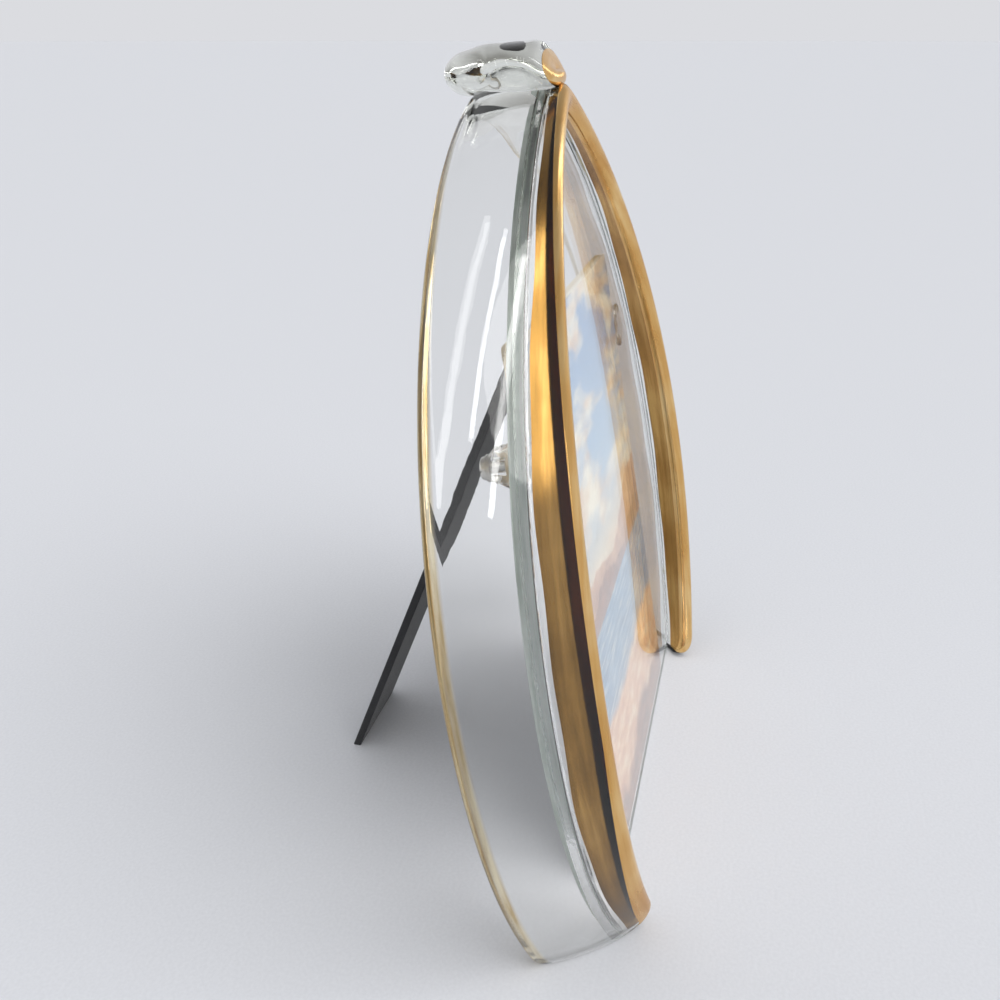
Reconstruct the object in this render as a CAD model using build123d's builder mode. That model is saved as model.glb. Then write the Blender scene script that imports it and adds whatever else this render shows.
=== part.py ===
"""Curved glass photo frame: a bent clear glass arch with a gilded front rim, which holds a flat
glass panel, a five by seven inch print and an easel back with a hinged leg.

Millimetres. +X is to the right of someone facing the frame, +Y is towards its back and +Z is up.
The origin is the middle of the footprint, on the table.
"""

import math
import os

from build123d import *

# Stance
lean_angle = 11.31            # degrees that the arch leans back from upright
panel_lean_angle = 10.5       # degrees that the flat panel and its back lean back
leg_open_angle = 31.5         # degrees between the back board and the opened leg

# Glass arch, measured in the leaning plane of its rear rim
side_room = 35.2              # between each stud and the wall, at the widest height
arch_height = 238.9           # up the slope, from the table to the outer apex
widest_height = 80.0          # up the slope, from the table to the widest level
wall_thickness = 5.2
wall_depth = 33.4             # rear rim to front rim, at the height where the front bows out most
front_inset = 20.4            # how far the front rim curls in from the rear rim
inset_fade_share = 0.91       # part of that inset which is gone at the apex
wall_bulge = 2.6              # rise of the wall's cross curve above its chord
edge_round = 1.8              # how far the melted edge stands past the flat of the wall
front_bow_radius = 1750.0     # side view of the front rim
front_bow_height = 105.0      # up the slope, where the front rim bows out most
front_toe_radius = 9.0        # rounded corner of each glass foot, at the front
rear_toe_radius = 5.0
wall_station_count = 13       # cross sections along each wing
outline_rounds = 4            # to settle where the leaning panel meets the wall

# Crown: the lumpy bead of clear glass that closes the apex
crown_width = 38.0
crown_thickness = 15.2
crown_overhang = 5.0          # past the rear rim
crown_station_shares = (0.0, 0.10, 0.27, 0.48, 0.69, 0.88, 1.0)
crown_width_shares = (0.52, 0.90, 1.00, 0.94, 0.98, 0.86, 0.50)
crown_thickness_shares = (0.44, 0.84, 0.93, 1.00, 1.00, 0.90, 0.40)
crown_rise_shares = (0.37, 0.39, 0.38, 0.34, 0.28, 0.20, 0.09)  # its middle, over the apex

# Gilding fired on the front rim and on the inside of the wall behind it
gilt_thickness = 0.2
gilt_panel_gap = 1.6          # its rear border, on the inside of the wall, to the panel's face
gilt_foot_height = 2.4        # bare glass below it
gilt_gap = 0.05               # gilding to glass

# Flat glass panel inside the arch
panel_face_depth = 18.4       # panel's front face, forward of the rear rim at the table
panel_thickness = 4.5
panel_gap = 0.4               # bond line round the panel's edge
panel_lift = 0.8              # clear of the table

# Print, card and back board
print_width = 127.0
print_height = 178.0
print_thickness = 0.3
card_thickness = 1.2
board_thickness = 2.0
stack_lift = 1.0              # clear of the table
sheet_corner_radius = 1.5

# Glass studs with turn buttons, one on each side of the board
stud_height = 8.4
stud_base_radius = 8.2
stud_end_radius = 4.1
stud_board_gap = 0.4
stud_level = 148.0            # up the slope, from the table
screw_radius = 1.5
screw_depth = 5.0             # in the stud
screw_head_radius = 3.1
screw_head_height = 1.4
screw_head_round = 0.5
screw_slot_width = 0.8
screw_slot_depth = 0.6
washer_radius = 3.7
washer_thickness = 0.5
button_thickness = 0.8
button_width = 7.0
button_reach = 17.0           # from the screw's axis to the tip
button_hub_reach = 3.9        # behind the screw's axis
button_step_width = 1.2       # sloping stretch between hub and finger
button_tip_radius = 2.6
button_hub_radius = 3.3

# Leg and its hinge
leg_width = 36.0
leg_thickness = 2.8
leg_corner_radius = 4.0
leg_edge_radius = 0.5
hinge_drop = 2.6              # hinge axis, below the board's top edge
leaf_thickness = 0.8
leaf_width = 28.0
leaf_length = 16.0
barrel_radius = 2.1
pin_radius = 1.0
pin_head_radius = 1.6
pin_head_length = 0.8
middle_knuckle_length = 11.4
rivet_radius = 1.2
rivet_head_radius = 2.2
rivet_head_height = 0.6
rivet_head_round = 0.4
rivet_spacing = 18.0
rivet_inset = 4.5             # from the leaf's free edge

# Fits
running_gap = 0.3             # between pieces that move past each other
button_gap = 0.2              # turn button to board
stack_gap = 0.1               # between the parts threaded on each screw
pin_clearance = 0.05          # radial, shafts in holes

# Values that follow from the sizes above
stud_across = print_width / 2 + stud_board_gap + stud_base_radius
arch_half_width = stud_across + stud_base_radius + side_room + wall_thickness
arch_rise = arch_height - widest_height
arch_radius = (arch_rise**2 + arch_half_width**2) / (2 * arch_half_width)
arch_centre_x = arch_half_width - arch_radius
apex_turn = math.atan2(arch_rise, -arch_centre_x)
overrun = 4 * wall_thickness
foot_turn = -math.asin((widest_height + overrun) / arch_radius)
panel_rear_depth = panel_face_depth - panel_thickness
print_rear_depth = panel_rear_depth - print_thickness
card_rear_depth = print_rear_depth - card_thickness
board_rear_depth = card_rear_depth - board_thickness
hinge_depth = board_rear_depth - leaf_thickness - running_gap - barrel_radius


def leaning_plane(angle, origin=(0, 0, 0)):
    """Plane that leans back by an angle: local x across, y up the slope and z forwards."""
    tilt = math.radians(angle)
    return Plane(origin=origin, x_dir=(1, 0, 0), z_dir=(0, -math.cos(tilt), math.sin(tilt)))


lean = leaning_plane(lean_angle)
panel_lean = leaning_plane(panel_lean_angle)
panel_sine = math.sin(math.radians(panel_lean_angle))
panel_cosine = math.cos(math.radians(panel_lean_angle))
stack_foot = (stack_lift - board_rear_depth * panel_sine) / panel_cosine
hinge_level = stack_foot + print_height - hinge_drop
hinge_place = panel_lean.from_local_coords((0, hinge_level, hinge_depth))
hinge_plane = leaning_plane(panel_lean_angle, hinge_place)
leg_plane = leaning_plane(panel_lean_angle - leg_open_angle, hinge_place)
hinge_section = Plane(origin=hinge_place, x_dir=panel_lean.y_dir, z_dir=(1, 0, 0))

# Seats and bores, measured from the plane that each piece is drawn in
leaf_seat = barrel_radius + running_gap
board_front = leaf_seat + leaf_thickness + board_thickness + overrun
leg_back = -leg_thickness / 2
rivet_hole_radius = rivet_radius + pin_clearance
pin_bore_radius = pin_radius + pin_clearance
bore_radius = screw_radius + pin_clearance
rivet_level = -leaf_length + rivet_inset
rivet_places = [(-rivet_spacing / 2, rivet_level), (rivet_spacing / 2, rivet_level)]
washer_level = stud_height + stack_gap + button_thickness + stack_gap
centre = [(0, 0)]
on_foot = (Align.CENTER, Align.CENTER, Align.MIN)


def front_inset_at(turn):
    """Inward reach of the front rim at a turn round the arch; it fades towards the apex."""
    return front_inset * (1 - inset_fade_share * (max(turn, 0) / apex_turn) ** 2)


def front_depth_at(turn):
    """Depth of the front rim at a turn round the arch, with the bow of its side view."""
    level = widest_height + (arch_radius - front_inset_at(turn)) * math.sin(turn)
    return wall_depth - (level - front_bow_height) ** 2 / (2 * front_bow_radius)


def wall_curve(turn):
    """Centre, radius and end angles of the wall's cross curve: x inwards, y forwards."""
    inset = front_inset_at(turn)
    depth = front_depth_at(turn)
    chord = math.hypot(inset, depth)
    radius = (chord**2 / 4 + wall_bulge**2) / (2 * wall_bulge)
    reach = (radius - wall_bulge) / chord
    centre_x = inset / 2 + reach * depth
    centre_y = depth / 2 - reach * inset
    rear_angle = math.atan2(-centre_y, -centre_x) % (2 * math.pi)
    front_angle = math.atan2(depth - centre_y, inset - centre_x) % (2 * math.pi)
    return centre_x, centre_y, radius, rear_angle, front_angle


def wall_point(turn, inset, share, past=0):
    """Point of the wall's cross section under the outer face by an inset, at a share of the way
    from the rear rim to the front rim, and past that rim by a length."""
    centre_x, centre_y, radius, rear_angle, front_angle = wall_curve(turn)
    outwards = 1 if share else -1
    angle = rear_angle + share * (front_angle - rear_angle) - outwards * past / radius
    across = centre_x + (radius - inset) * math.cos(angle)
    return across, centre_y + (radius - inset) * math.sin(angle)


def wall_reach(turn, inset, depth):
    """Inward reach of the wall's face at a depth, under the outer face by an inset."""
    centre_x, centre_y, radius, _, _ = wall_curve(turn)
    return centre_x - math.sqrt((radius - inset) ** 2 - (depth - centre_y) ** 2)


def wall_share(turn, inset, depth):
    """Share of the way from the rear rim to the front rim at which the wall has a depth."""
    _, centre_y, radius, rear_angle, front_angle = wall_curve(turn)
    angle = math.pi - math.asin((depth - centre_y) / (radius - inset))
    return (angle - rear_angle) / (front_angle - rear_angle)


def panel_edge(turn):
    """Across, level and depth, in the arch's plane, of the panel's front edge at a turn."""
    rake = math.tan(math.radians(lean_angle - panel_lean_angle))
    depth = panel_face_depth
    for _ in range(outline_rounds):
        reach = wall_reach(turn, wall_thickness, depth) + panel_gap
        across = arch_centre_x + (arch_radius - reach) * math.cos(turn)
        level = widest_height + (arch_radius - reach) * math.sin(turn)
        depth = panel_face_depth + level * rake
    return across, level, depth


def wall_plane(turn):
    """Plane of the wall's cross section at a turn: local x inwards, local y forwards."""
    cosine = math.cos(turn)
    sine = math.sin(turn)
    foot = (arch_centre_x + arch_radius * cosine, widest_height + arch_radius * sine, 0)
    return Plane(
        origin=lean.from_local_coords(foot),
        x_dir=lean.from_local_coords((-cosine, -sine, 0)),
        z_dir=lean.from_local_coords((-sine, cosine, 0)),
    )


def wall_turns():
    """Turns round one wing, from below the table to past the apex."""
    last = apex_turn + overrun / arch_radius
    step = (last - foot_turn) / (wall_station_count - 1)
    return [foot_turn + step * station for station in range(wall_station_count)]


def glass_section(turn):
    """Lines of the glass wall's cross section: two curved faces and two melted edges."""
    middle = wall_thickness / 2
    ThreePointArc(*[wall_point(turn, 0, share) for share in (0, 0.5, 1)])
    ThreePointArc(
        wall_point(turn, 0, 1),
        wall_point(turn, middle, 1, edge_round),
        wall_point(turn, wall_thickness, 1),
    )
    ThreePointArc(*[wall_point(turn, wall_thickness, share) for share in (1, 0.5, 0)])
    ThreePointArc(
        wall_point(turn, wall_thickness, 0),
        wall_point(turn, middle, 0, edge_round),
        wall_point(turn, 0, 0),
    )


def gilt_section(turn):
    """Lines of the gilding's cross section: a thin band that turns over the front edge."""
    middle = wall_thickness / 2
    inner = wall_thickness + gilt_gap
    outer = inner + gilt_thickness
    rim = gilt_gap + gilt_thickness
    _, _, panel_depth = panel_edge(turn)
    band = wall_share(turn, wall_thickness, panel_depth + gilt_panel_gap)
    shares = (band, (1 + band) / 2, 1)
    ThreePointArc(*[wall_point(turn, inner, share) for share in shares])
    ThreePointArc(
        wall_point(turn, inner, 1),
        wall_point(turn, middle, 1, edge_round + gilt_gap),
        wall_point(turn, 0, 1, gilt_gap),
    )
    Line(wall_point(turn, 0, 1, gilt_gap), wall_point(turn, 0, 1, rim))
    ThreePointArc(
        wall_point(turn, 0, 1, rim),
        wall_point(turn, middle, 1, edge_round + rim),
        wall_point(turn, outer, 1),
    )
    ThreePointArc(*[wall_point(turn, outer, share) for share in reversed(shares)])
    Line(wall_point(turn, outer, band), wall_point(turn, inner, band))


def loft_wing(section):
    """Right wing of the arch, lofted through a cross section at each turn, in the open part."""
    sections = []
    for turn in wall_turns():
        with BuildSketch(wall_plane(turn)) as outline:
            with BuildLine():
                section(turn)
            make_face()
        sections.append(outline.sketch.face())
    loft(sections)


def side_point(level, depth):
    """Point of the side view, as (y, z), from a level up the slope and a depth."""
    point = lean.from_local_coords((0, level, depth))
    return point.Y, point.Z


def trim_feet():
    """Grind the wings level at the table and round their toes, in the open part."""
    top = arch_height + overrun
    bow_slope = front_bow_height / front_bow_radius
    skin = edge_round + gilt_gap + gilt_thickness
    table_depth = wall_depth - front_bow_height**2 / (2 * front_bow_radius) + skin
    with BuildSketch(Plane.YZ) as side_view:
        Polygon(
            side_point(-overrun, -skin),
            side_point(-overrun, table_depth - bow_slope * overrun),
            side_point(top, table_depth + bow_slope * top),
            side_point(top, -skin),
            align=None,
        )
        Rectangle(
            2 * arch_height, 2 * overrun, align=(Align.CENTER, Align.MAX), mode=Mode.SUBTRACT
        )
        feet = side_view.vertices().group_by(Axis.Z)[0].sort_by(Axis.Y)
        fillet(feet[0], radius=front_toe_radius)
        feet = side_view.vertices().group_by(Axis.Z)[0].sort_by(Axis.Y)
        fillet(feet[-1], radius=rear_toe_radius)
    reach = arch_half_width + overrun
    extrude(side_view.sketch, amount=reach, both=True, mode=Mode.INTERSECT)


def crown_oval(station_share, width_share, thickness_share, rise_share, margin):
    """Oval face across the crown, at a share of its length from back to front."""
    length = crown_overhang + front_depth_at(apex_turn) + 2 * margin
    level = arch_height + rise_share * crown_thickness
    with BuildSketch(lean.offset(station_share * length - crown_overhang - margin)) as oval:
        with Locations((0, level)):
            Ellipse(
                crown_width / 2 * width_share + margin,
                crown_thickness / 2 * thickness_share + margin,
            )
    return oval.sketch.face()


crown_ovals = list(
    zip(crown_station_shares, crown_width_shares, crown_thickness_shares, crown_rise_shares)
)


def loft_crown(margin):
    """Lumpy bead over the apex, lofted through ovals from back to front, in the open part."""
    loft([crown_oval(*shares, margin) for shares in crown_ovals])


def panel_outline():
    """Right half of the panel's leaf outline, inside the arch's wall by the bond gap."""
    points = []
    for turn in wall_turns():
        point = panel_lean.to_local_coords(lean.from_local_coords(panel_edge(turn)))
        points.append((point.X, point.Y))
    with BuildLine() as outline:
        side = Spline(*points)
        Polyline(side @ 1, (points[-1][0], points[0][1]), side @ 0)
    return outline.line


def stack_layer(thickness, rear_depth):
    """Flat sheet of the stack behind the panel, standing on the stack's foot, in the open part."""
    with BuildSketch(panel_lean.offset(rear_depth)) as sheet:
        with Locations((0, stack_foot)):
            corner = sheet_corner_radius
            RectangleRounded(print_width, print_height, corner, align=(Align.CENTER, Align.MIN))
    extrude(sheet.sketch, amount=thickness)


def bars(plane, places, radius, start, length, mode=Mode.ADD):
    """Round bars or holes along a plane's normal, from a start above it, in the open part."""
    with BuildSketch(plane.offset(start)) as rounds:
        with Locations(*places):
            Circle(radius)
    extrude(rounds.sketch, amount=length, mode=mode)


def plate(plane, width, top, bottom, start, thickness):
    """Flat plate in a plane that leans, between two levels, in the open part."""
    with BuildSketch(plane.offset(start)) as face:
        with Locations((0, top)):
            Rectangle(width, top - bottom, align=(Align.CENTER, Align.MAX))
    extrude(face.sketch, amount=thickness)


def make_rivets(plane, seat, grip):
    """Two rivets of a hinge leaf: domed heads behind the seat and shanks through the grip."""
    with BuildPart() as rivets:
        bars(plane, rivet_places, rivet_head_radius, seat, -rivet_head_height)
        rims = rivets.edges().group_by(Axis(plane.origin, -plane.z_dir))[-1]
        fillet(rims, radius=rivet_head_round)
        bars(plane, rivet_places, rivet_radius, seat, grip)
    return rivets


def stud_plane(side):
    """Plane at a stud's foot on the panel's back: local x inwards, local z rearwards."""
    foot = (side * stud_across, stud_level, panel_rear_depth)
    origin = panel_lean.from_local_coords(foot)
    return Plane(origin=origin, x_dir=(-side, 0, 0), z_dir=-panel_lean.z_dir)


def make_stud(side):
    """Clear glass cone, bored for the screw."""
    place = stud_plane(side)
    with BuildPart(place) as stud:
        Cone(stud_base_radius, stud_end_radius, stud_height, align=on_foot)
        bars(place, centre, bore_radius, stud_height, -screw_depth - stack_gap, Mode.SUBTRACT)
    return stud


def make_button(side):
    """Turn button: a strip from the stud's end, stepped down to a finger over the board."""
    place = stud_plane(side)
    hub = stud_height + stack_gap
    finger = panel_rear_depth - board_rear_depth + button_gap
    slope = (stud_base_radius - stud_end_radius) / stud_height
    step_foot = stud_base_radius - slope * finger + running_gap + button_thickness
    step_top = step_foot - button_step_width
    with BuildPart() as button:
        with BuildSketch(Plane(place.origin, x_dir=place.x_dir, z_dir=-place.y_dir)) as strip:
            Polygon(
                (-button_hub_reach, hub),
                (step_top, hub),
                (step_foot, finger),
                (button_reach, finger),
                (button_reach, finger + button_thickness),
                (step_foot + button_thickness, finger + button_thickness),
                (step_top + button_thickness, hub + button_thickness),
                (-button_hub_reach, hub + button_thickness),
                align=None,
            )
        extrude(strip.sketch, amount=button_width / 2, both=True)
        with BuildSketch(place) as outline:
            with Locations((-button_hub_reach, 0)):
                length = button_hub_reach + button_reach
                Rectangle(length, button_width, align=(Align.MIN, Align.CENTER))
            ends = outline.vertices().sort_by(Axis(place.origin, place.x_dir))
            fillet(ends[:2], radius=button_hub_radius)
            ends = outline.vertices().sort_by(Axis(place.origin, place.x_dir))
            fillet(ends[-2:], radius=button_tip_radius)
        extrude(outline.sketch, amount=hub + overrun, mode=Mode.INTERSECT)
        bars(place, centre, bore_radius, 0, hub + overrun, Mode.SUBTRACT)
    return button


def make_washer(side):
    """Flat washer between the turn button and the screw's head."""
    place = stud_plane(side)
    with BuildPart() as washer:
        bars(place, centre, washer_radius, washer_level, washer_thickness)
        bars(place, centre, bore_radius, washer_level, washer_thickness, Mode.SUBTRACT)
    return washer


def make_screw(side):
    """Slotted screw that the turn button pivots on."""
    place = stud_plane(side)
    head_level = washer_level + washer_thickness + stack_gap
    grip = head_level - stud_height + screw_depth
    with BuildPart() as screw:
        bars(place, centre, screw_head_radius, head_level, screw_head_height)
        rim = screw.edges().group_by(Axis(place.origin, place.z_dir))[-1]
        fillet(rim, radius=screw_head_round)
        bars(place, centre, screw_radius, stud_height - screw_depth, grip)
        with BuildSketch(place.offset(head_level + screw_head_height)) as slot:
            Rectangle(2 * screw_head_radius + overrun, screw_slot_width)
        extrude(slot.sketch, amount=-screw_slot_depth, mode=Mode.SUBTRACT)
    return screw


with BuildPart() as glass_arch:
    loft_wing(glass_section)
    split(bisect_by=Plane.YZ, keep=Keep.TOP)
    trim_feet()
    mirror(about=Plane.YZ)
    loft_crown(0)

with BuildPart() as crown_clearance:
    loft_crown(gilt_gap)

with BuildPart() as gilt_rim:
    loft_wing(gilt_section)
    split(bisect_by=Plane.YZ, keep=Keep.TOP)
    trim_feet()
    split(bisect_by=Plane.XY.offset(gilt_foot_height), keep=Keep.TOP)
    mirror(about=Plane.YZ)
    add(crown_clearance.part, mode=Mode.SUBTRACT)
    crown_end = crown_oval(*crown_ovals[-1], gilt_gap)
    extrude(crown_end, amount=gilt_thickness)

with BuildPart() as front_panel:
    with BuildSketch(panel_lean.offset(panel_rear_depth)) as leaf:
        with BuildLine():
            add(panel_outline())
        make_face()
    extrude(leaf.sketch, amount=panel_thickness)
    split(bisect_by=Plane.YZ, keep=Keep.TOP)
    split(bisect_by=Plane.XY.offset(panel_lift), keep=Keep.TOP)
    mirror(about=Plane.YZ)

with BuildPart() as photo_print:
    stack_layer(print_thickness, print_rear_depth)

with BuildPart() as backing_card:
    stack_layer(card_thickness, card_rear_depth)

with BuildPart() as easel_board:
    stack_layer(board_thickness, board_rear_depth)
    bars(hinge_plane, rivet_places, rivet_hole_radius, 0, board_front, Mode.SUBTRACT)

with BuildPart() as hinge_board_leaf:
    plate(hinge_plane, leaf_width, 0, -leaf_length, leaf_seat, leaf_thickness)
    with BuildSketch(hinge_section) as knuckle:
        Circle(barrel_radius)
        Rectangle(barrel_radius, leaf_seat, align=(Align.MAX, Align.MIN))
    extrude(knuckle.sketch, amount=leaf_width / 2, both=True)
    with BuildSketch(hinge_section) as notch:
        with Locations((0, leaf_seat)):
            Rectangle(2 * leaf_length, leaf_width, align=(Align.CENTER, Align.MAX))
    extrude(
        notch.sketch,
        amount=middle_knuckle_length / 2 + running_gap,
        both=True,
        mode=Mode.SUBTRACT,
    )
    bars(hinge_section, centre, pin_bore_radius, -leaf_width, 2 * leaf_width, Mode.SUBTRACT)
    bars(hinge_plane, rivet_places, rivet_hole_radius, 0, board_front, Mode.SUBTRACT)

with BuildPart() as hinge_pin:
    shank = leaf_width + 2 * stack_gap
    bars(hinge_section, centre, pin_radius, -shank / 2, shank)
    bars(hinge_section, centre, pin_head_radius, shank / 2, pin_head_length)
    bars(hinge_section, centre, pin_head_radius, -shank / 2, -pin_head_length)

with BuildPart() as hinge_leg_leaf:
    plate(leg_plane, leaf_width, -leaf_seat, -leaf_length, leg_back, -leaf_thickness)
    plate(leg_plane, middle_knuckle_length, 0, -leaf_seat, leg_back, -leaf_thickness)
    bars(hinge_section, centre, barrel_radius, -middle_knuckle_length / 2, middle_knuckle_length)
    bars(hinge_section, centre, pin_bore_radius, -leaf_width, 2 * leaf_width, Mode.SUBTRACT)
    bars(leg_plane, rivet_places, rivet_hole_radius, leg_back, -overrun, Mode.SUBTRACT)

with BuildPart() as easel_leg:
    with BuildSketch(leg_plane.offset(leg_back)) as strip:
        with Locations((0, -leaf_seat)):
            Rectangle(leg_width, arch_height, align=(Align.CENTER, Align.MAX))
        fillet(strip.vertices().group_by(Axis.Z)[-1], radius=leg_corner_radius)
    extrude(strip.sketch, amount=leg_thickness)
    long_edges = easel_leg.edges().filter_by(Axis(leg_plane.origin, leg_plane.y_dir))
    fillet(long_edges, radius=leg_edge_radius)
    split(bisect_by=Plane.XY, keep=Keep.TOP)
    bars(leg_plane, rivet_places, rivet_hole_radius, leg_back, leg_thickness, Mode.SUBTRACT)

board_rivets = make_rivets(hinge_plane, leaf_seat, leaf_thickness + board_thickness)
leg_seat = leg_back - leaf_thickness
leg_rivets = make_rivets(leg_plane, leg_seat, leaf_thickness + leg_thickness)

pieces = {
    "glass_arch": glass_arch,
    "gilt_rim": gilt_rim,
    "front_panel": front_panel,
    "photo_print": photo_print,
    "backing_card": backing_card,
    "easel_board": easel_board,
    "board_rivets": board_rivets,
    "hinge_board_leaf": hinge_board_leaf,
    "hinge_pin": hinge_pin,
    "hinge_leg_leaf": hinge_leg_leaf,
    "leg_rivets": leg_rivets,
    "easel_leg": easel_leg,
}
for side, hand in ((-1, "left"), (1, "right")):
    pieces["stud_" + hand] = make_stud(side)
    pieces["turn_button_" + hand] = make_button(side)
    pieces["button_washer_" + hand] = make_washer(side)
    pieces["button_screw_" + hand] = make_screw(side)


def footprint_middle():
    """Middle of the footprint from the front rim to the leg's foot, as a y."""
    reaches = []
    for name in ("gilt_rim", "easel_leg"):
        vertices, _ = pieces[name].part.tessellate(gilt_thickness)
        reaches += [vertex.Y for vertex in vertices]
    return (min(reaches) + max(reaches)) / 2


to_origin = Location((0, -footprint_middle(), 0))
os.makedirs("parts", exist_ok=True)
for name, piece in pieces.items():
    piece.part = piece.part.moved(to_origin)
    piece.part.label = name
    export_step(piece.part, f"parts/{name}.step")
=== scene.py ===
"""Looks of the curved glass photo frame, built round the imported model.

The shapes are worked out in millimetres and leave as metres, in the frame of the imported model.
A leaning point is (across, level up the slope, depth in front of the rear rim's plane).
"""

import math

import bmesh
import bpy
import numpy as np
from mathutils import Matrix, Vector


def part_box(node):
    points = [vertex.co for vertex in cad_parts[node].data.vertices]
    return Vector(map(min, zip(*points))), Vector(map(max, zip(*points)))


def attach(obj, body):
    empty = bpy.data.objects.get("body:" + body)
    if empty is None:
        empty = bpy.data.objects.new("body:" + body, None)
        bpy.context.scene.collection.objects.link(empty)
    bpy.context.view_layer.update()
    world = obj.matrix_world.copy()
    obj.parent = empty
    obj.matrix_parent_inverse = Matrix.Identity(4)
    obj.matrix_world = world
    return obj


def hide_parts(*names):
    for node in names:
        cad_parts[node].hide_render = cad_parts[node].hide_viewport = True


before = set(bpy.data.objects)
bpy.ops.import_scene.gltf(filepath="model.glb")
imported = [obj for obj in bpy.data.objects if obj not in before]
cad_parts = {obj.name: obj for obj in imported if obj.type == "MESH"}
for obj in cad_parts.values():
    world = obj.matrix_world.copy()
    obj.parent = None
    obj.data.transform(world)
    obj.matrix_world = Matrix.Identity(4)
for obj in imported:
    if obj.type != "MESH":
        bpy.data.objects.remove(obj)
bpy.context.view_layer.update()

mm = 0.001

# Arch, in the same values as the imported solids
lean = math.radians(11.31)
panel_lean = math.radians(10.5)
arch_half_width = 120.7
arch_height = 238.9
widest_height = 80.0
wall_thickness = 5.2
wall_depth = 33.4
front_inset = 20.4
inset_fade_share = 0.91
wall_bulge = 2.6
edge_round = 1.8
front_bow_radius = 1750.0
front_bow_height = 105.0
front_toe_radius = 9.0
rear_toe_radius = 5.0
foot_edge_radius = 1.8

# Crown bead
crown_width = 38.0
crown_thickness = 15.2
crown_overhang = 5.0
crown_foot = 230.0            # height on the frame under which the rear rim is free of it
crown_station_shares = (0.0, 0.10, 0.27, 0.48, 0.69, 0.88, 1.0)
crown_width_shares = (0.52, 0.90, 1.00, 0.94, 0.98, 0.86, 0.50)
crown_thickness_shares = (0.44, 0.84, 0.93, 1.00, 1.00, 0.90, 0.40)
crown_rise_shares = (0.37, 0.39, 0.38, 0.34, 0.28, 0.20, 0.09)
crown_end_share = 0.06        # part of its length that each rounded end takes
crown_end_power = 2.4         # how full those ends are
crown_lumps = (               # swelling share, waves round it, their twist along it and their start
    (0.034, 2, 5, 0.6),
    (0.026, 3, -9, 0.0),
    (0.026, 1, 13, 2.0),
)
crown_shrink_share = 0.074
crown_face_tilt = 2.4         # the top of its front end is this much further back
apex_round_outer = 2.0        # softens the bend of the wall under the crown
apex_round_inner = 8.0
apex_round_share = 0.5        # part of the arch's half width over which that fades

# Gilding
gilt_panel_gap = 1.6          # its rear border to the panel's face
gilt_band_waver = 0.30
gilt_lap = 1.9                # over the outside of the wall
gilt_foot_lap = 2.6           # more of it at the foot
gilt_feather = 0.35           # width of its thin border
gilt_proud = 0.14
gilt_root = 0.08              # under the skin of the glass
gilt_border_sink = 0.02       # its border ends this far under that skin
gilt_foot_height = 2.4
gilt_crown_reach = 2.5        # over the front end of the crown
gilt_least_share = 0.1        # part of the wall's depth that its band keeps
lap_least_share = 0.02        # and that its lap keeps
lap_middle_share = 0.6        # place of a row of points on the lap

rear_rim_start = -0.3         # depths between which the painted golden reflection on the rear rim fades
rear_rim_end = 0.6
crown_foot_fade = 4.0         # height over which that painted reflection fades under the crown
streak_stretch = 0.05         # noise in streaks is this many times as fine along the arch

# Panel and bond
panel_face_depth = 18.4
panel_thickness = 4.5
panel_gap = 0.4
panel_lift = 0.8
panel_chamfer = 0.5
chamfer_bend_share = 0.3      # makes the chamfer round
print_clearance = 0.1         # the print's face is on the panel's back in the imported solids
bead_reach = 1.0              # clear bond, over the panel's face and the wall
bead_waver = 0.12
bead_depth = 2.2              # into the joint
bead_clearance = 0.02
bead_foot_gap = 2.0           # it ends this far above the panel's foot
bead_hollow_share = 0.32      # how far its face is drawn in from flat to the corner

# Studs
stud_height = 8.4
stud_base_radius = 8.2
stud_end_radius = 4.1
stud_edge_round = 0.9
stud_bore_radius = 1.55
stud_bore_depth = 5.1
stud_bore_chamfer = 0.3
stud_foot_round = ((0.35, 0.0), (0.08, 0.12), (0.0, 0.4))   # cut in, and height over the panel
stud_side_start = 0.7
stud_round_start = 0.15       # angle at which the shoulder's round begins
stud_round_shift = 0.35       # the shoulder is as wide as the cone is this far below it
print_width = 127.0
print_height = 178.0
stud_board_gap = 0.4
stud_level = 148.0

# Camera and stage
camera_place = (-306.8, -41.0, 250.0)   # from the foot of the rear rim
camera_turn = math.radians(14.495)
camera_pitch = math.radians(24.89)
camera_lens = 36.0
sensor_width = 36.0
camera_near = 0.01            # metres, and so are the floor's radii
floor_radii = (0.5, 2.0, 8.0, 60.0)
sun_energy = 1.75
sun_width = math.radians(50)
sun_heading = (0.22, 0.62, -0.75)
strips = {                    # start and end in metres, width in metres, power in watts
    "strip_front": ((-0.10, -0.50, 1.50), (-1.10, -0.62, 0.70), 0.07, 1.6),
    "strip_middle": ((-0.05, -0.20, 1.55), (-0.95, -0.34, 1.00), 0.05, 0.9),
    "strip_left": ((0.00, 0.05, 1.60), (-1.20, -0.10, 0.75), 0.08, 1.0),
    "strip_right": ((0.55, -0.70, 1.30), (1.35, -0.80, 0.30), 0.07, 1.6),
    "strip_back": ((-0.40, 0.80, 1.20), (-1.20, 1.00, 0.20), 0.07, 1.6),
}

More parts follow.
